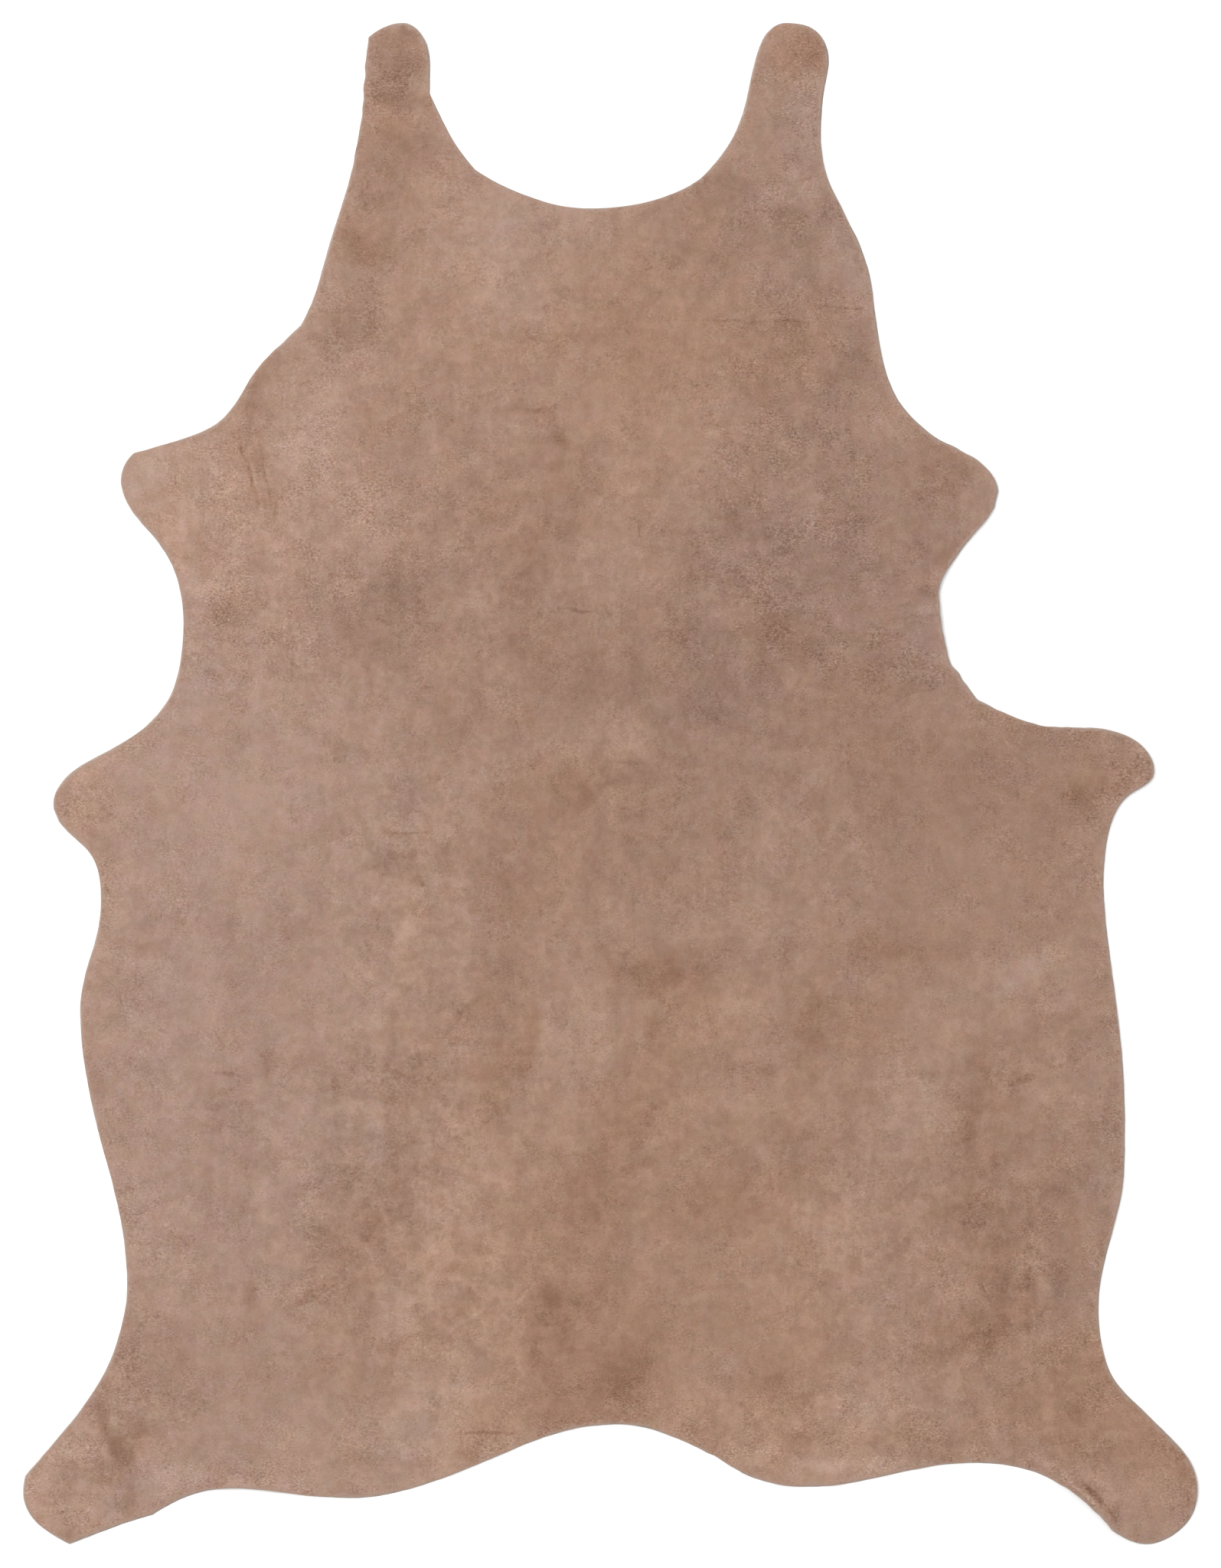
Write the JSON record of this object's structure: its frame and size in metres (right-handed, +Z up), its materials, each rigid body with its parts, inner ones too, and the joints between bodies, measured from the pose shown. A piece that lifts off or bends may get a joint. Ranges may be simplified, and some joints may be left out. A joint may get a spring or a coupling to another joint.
{
  "type": "leather hide",
  "caption": "Whole cut leather hide with a suede nap, laid flat, with an arched neck between tabs, forelegs, flank points, hind legs and an arched tail end.",
  "frame": {"origin": "under the middle of the hide's overall length and width, on the surface that it rests on", "axes": "+Y along the spine towards the neck, +X across to the right as seen from above, +Z up through the thickness"},
  "size_m": [1.534, 1.987, 0.002],
  "materials": {
    "suede_leather": "napped suede, dusty tan with warm brown and mauve mottling, matt"
  },
  "bodies": {
    "root": {"hide": "suede_leather"}
  },
  "joints": []
}
